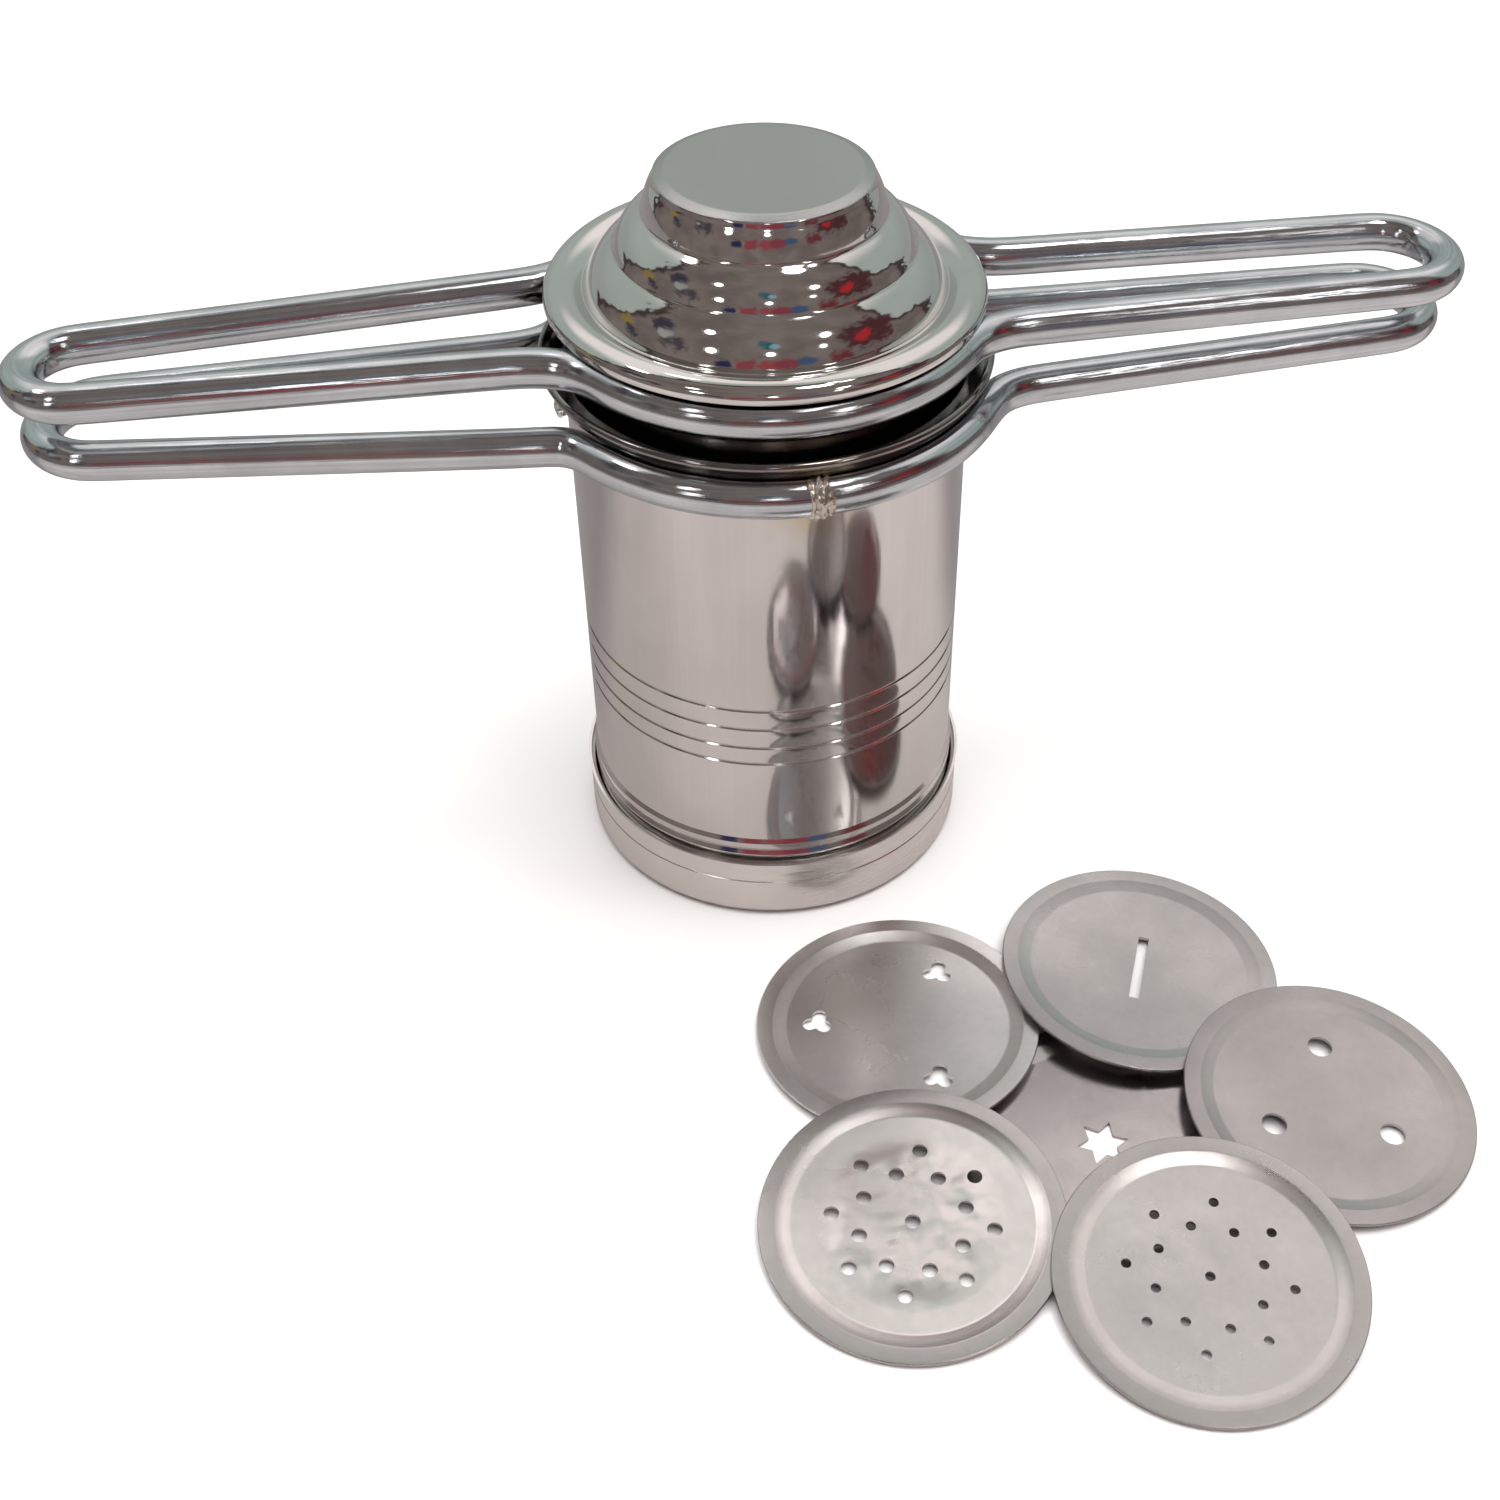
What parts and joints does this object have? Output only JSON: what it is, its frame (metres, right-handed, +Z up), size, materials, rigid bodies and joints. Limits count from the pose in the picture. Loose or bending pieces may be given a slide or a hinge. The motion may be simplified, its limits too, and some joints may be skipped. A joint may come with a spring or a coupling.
{
  "type": "cookie press",
  "caption": "Hand cookie press: stepped-dome plunger and grooved steel barrel, each with a looped rod handle, a screw-on base cap and loose pattern dies.",
  "frame": {"origin": "bottom centre of the box round the whole set, press and dies, on the surface they stand on", "axes": "+Z up along the press axis, handles along X, dies laid out toward -Y, press axis at Y = +56.7 mm"},
  "size_m": [0.248, 0.197, 0.135],
  "materials": {
    "polished": "mirror-polished stainless steel",
    "rod": "polished stainless rod",
    "satin": "satin stainless steel",
    "die": "matte pressed stainless sheet",
    "weld": "weld bead with a light straw tint"
  },
  "bodies": {
    "barrel_body": {"barrel": "polished", "lower_handle": "rod", "lower_handle_butt_weld": "weld", "lower_tack_weld_1": "weld", "lower_tack_weld_2": "weld", "lower_tack_weld_3": "weld", "lower_tack_weld_4": "weld"},
    "plunger": {"dome_cap": "polished", "piston_tube": "satin", "piston_face": "satin", "upper_handle": "rod", "upper_handle_butt_weld": "weld", "upper_tack_weld_1": "weld", "upper_tack_weld_2": "weld", "upper_tack_weld_3": "weld", "upper_tack_weld_4": "weld"},
    "screw_cap": {"base_cap": "satin"},
    "star_die": {"die_star": "die"},
    "trefoil_die": {"die_trefoil": "die"},
    "slot_die": {"die_slot": "die"},
    "three_hole_die": {"die_three_hole": "die"},
    "coarse_die": {"die_coarse": "die"},
    "fine_die": {"die_fine": "die"}
  },
  "joints": [
    {"name": "plunger_slide", "type": "slide", "parent": "barrel_body", "child": "plunger", "axis": [0, 0, 1], "range_m": [0, 0.105]},
    {"name": "cap_thread", "type": "hinge", "parent": "barrel_body", "child": "screw_cap", "pos_m": [0, 0.0567, 0], "axis": [0, 0, -1], "range_deg": [0, 540]},
    {"name": "star_lift", "type": "slide", "parent": "barrel_body", "child": "star_die", "axis": [0, 0, 1], "range_m": [0, 0.025]},
    {"name": "trefoil_lift", "type": "slide", "parent": "star_die", "child": "trefoil_die", "axis": [0, 0, 1], "range_m": [0, 0.025]},
    {"name": "slot_lift", "type": "slide", "parent": "trefoil_die", "child": "slot_die", "axis": [0, 0, 1], "range_m": [0, 0.025]},
    {"name": "three_hole_lift", "type": "slide", "parent": "slot_die", "child": "three_hole_die", "axis": [0, 0, 1], "range_m": [0, 0.025]},
    {"name": "coarse_lift", "type": "slide", "parent": "three_hole_die", "child": "coarse_die", "axis": [0, 0, 1], "range_m": [0, 0.025]},
    {"name": "fine_lift", "type": "slide", "parent": "coarse_die", "child": "fine_die", "axis": [0, 0, 1], "range_m": [0, 0.025]}
  ]
}
